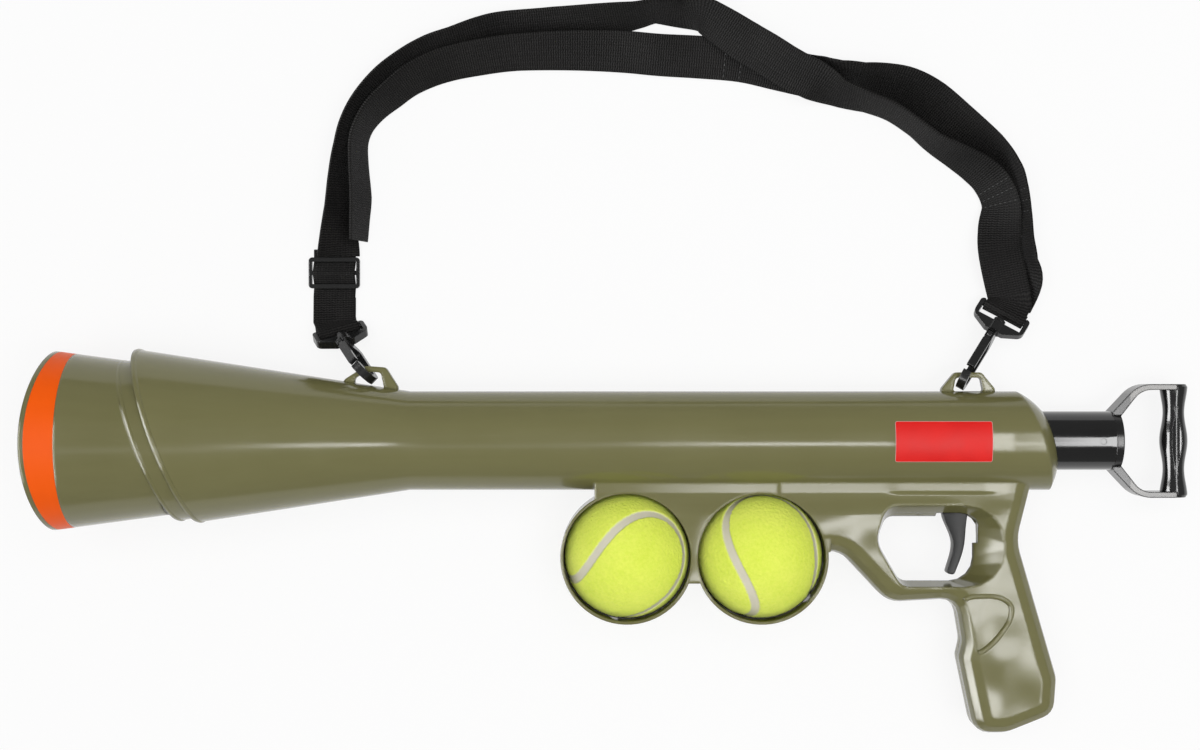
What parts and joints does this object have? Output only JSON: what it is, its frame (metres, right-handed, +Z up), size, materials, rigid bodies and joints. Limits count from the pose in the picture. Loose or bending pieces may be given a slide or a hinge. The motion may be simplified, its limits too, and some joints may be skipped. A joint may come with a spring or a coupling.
{
  "type": "dog ball thrower",
  "caption": "Spring plunger ball launcher with a flared muzzle, pull handle, pistol grip, rings that hold spare tennis balls and a shoulder strap.",
  "frame": {"origin": "bottom centre of the box round the thrower without its strap, lying on its side", "axes": "X from the muzzle to the pull handle, Y from the pistol grip to the strap, Z up from the surface it lies on"},
  "size_m": [0.603, 0.3912, 0.096],
  "materials": {
    "body_plastic": "glossy olive",
    "bell_plastic": "glossy dark olive",
    "band_plastic": "bright orange",
    "black_rubber": "matt black",
    "red_rubber": "matt red",
    "black_plastic": "satin black",
    "rod_plastic": "glossy black",
    "yoke_plastic": "dark grey",
    "bar_plastic": "black",
    "steel": "plain",
    "dark_steel": "blackened",
    "ball_felt": "optic yellow felt",
    "webbing": "black ribbed webbing"
  },
  "bodies": {
    "body": {"left_cone": "body_plastic", "right_cone": "body_plastic", "left_shell": "body_plastic", "right_shell": "body_plastic", "muzzle_bell": "bell_plastic", "muzzle_band": "band_plastic", "front_buffer": "black_rubber", "rear_bush": "black_plastic", "spring_washer": "steel", "main_spring": "steel", "trigger_pin": "steel", "trigger_spring": "steel", "sear_pin": "steel", "sear_spring": "steel", "shell_screws": "dark_steel", "front_eye": "black_plastic", "rear_eye": "black_plastic", "strap_slider": "black_plastic", "strap_outer": "webbing", "strap_inner": "webbing", "strap_tail": "webbing"},
    "plunger": {"plunger_rod": "rod_plastic", "plunger_head": "black_plastic", "striker_pad": "red_rubber", "handle_yoke": "yoke_plastic", "handle_bar": "bar_plastic", "handle_pin": "steel"},
    "trigger_lever": {"trigger": "black_plastic"},
    "sear_lever": {"sear": "steel"},
    "front_ball": {"front_ball_felt": "ball_felt", "front_ball_core": "black_rubber"},
    "rear_ball": {"rear_ball_felt": "ball_felt", "rear_ball_core": "black_rubber"},
    "front_snap": {"front_hook": "black_plastic"},
    "front_snap_gate": {"front_gate": "black_plastic"},
    "rear_snap": {"rear_hook": "black_plastic"},
    "rear_snap_gate": {"rear_gate": "black_plastic"}
  },
  "joints": [
    {"name": "plunger_pull", "type": "slide", "parent": "body", "child": "plunger", "axis": [1, 0, 0], "range_m": [0, 0.1], "stiffness_N_per_m": 300, "springref_m": -0.03, "deforming": ["main_spring"]},
    {"name": "trigger_pull", "type": "hinge", "parent": "body", "child": "trigger_lever", "pos_m": [0.1805, 0.0215, 0.048], "axis": [0, 0, 1], "range_deg": [0, 10], "stiffness_Nm_per_rad": 0.05, "springref_deg": -17.19, "deforming": ["trigger_spring"]},
    {"name": "sear_drop", "type": "hinge", "parent": "body", "child": "sear_lever", "pos_m": [0.1545, 0.0215, 0.048], "axis": [0, 0, 1], "range_deg": [-5, 0], "stiffness_Nm_per_rad": 0.02, "springref_deg": 11.46, "deforming": ["sear_spring"]},
    {"name": "front_ball_out", "type": "slide", "parent": "body", "child": "front_ball", "axis": [0, 0, 1], "range_m": [0, 0.07]},
    {"name": "rear_ball_out", "type": "slide", "parent": "body", "child": "rear_ball", "axis": [0, 0, 1], "range_m": [0, 0.07]},
    {"name": "front_hook_swivel", "type": "hinge", "parent": "body", "child": "front_snap", "pos_m": [-0.1335, 0.0899, 0.048], "axis": [-0.4132, 0.4924, -0.766], "range_deg": [-4, 4]},
    {"name": "front_hook_gate", "type": "hinge", "parent": "front_snap", "child": "front_snap_gate", "pos_m": [-0.14744, 0.10529, 0.03487], "axis": [0.7104, 0.7006, 0.0672], "range_deg": [0, 10], "stiffness_Nm_per_rad": 0.02, "springref_deg": -17.19},
    {"name": "rear_hook_swivel", "type": "hinge", "parent": "body", "child": "rear_snap", "pos_m": [0.1855, 0.0876, 0.048], "axis": [0.5355, 0.7647, -0.3584], "range_deg": [-8, 8]},
    {"name": "rear_hook_gate", "type": "hinge", "parent": "rear_snap", "child": "rear_snap_gate", "pos_m": [0.19782, 0.1088, 0.04634], "axis": [0.8441, -0.4704, 0.2573], "range_deg": [0, 10], "stiffness_Nm_per_rad": 0.02, "springref_deg": -17.19}
  ],
  "couplings": [
    {"joint": "sear_drop", "follows": "trigger_pull", "ratio": -0.48}
  ]
}
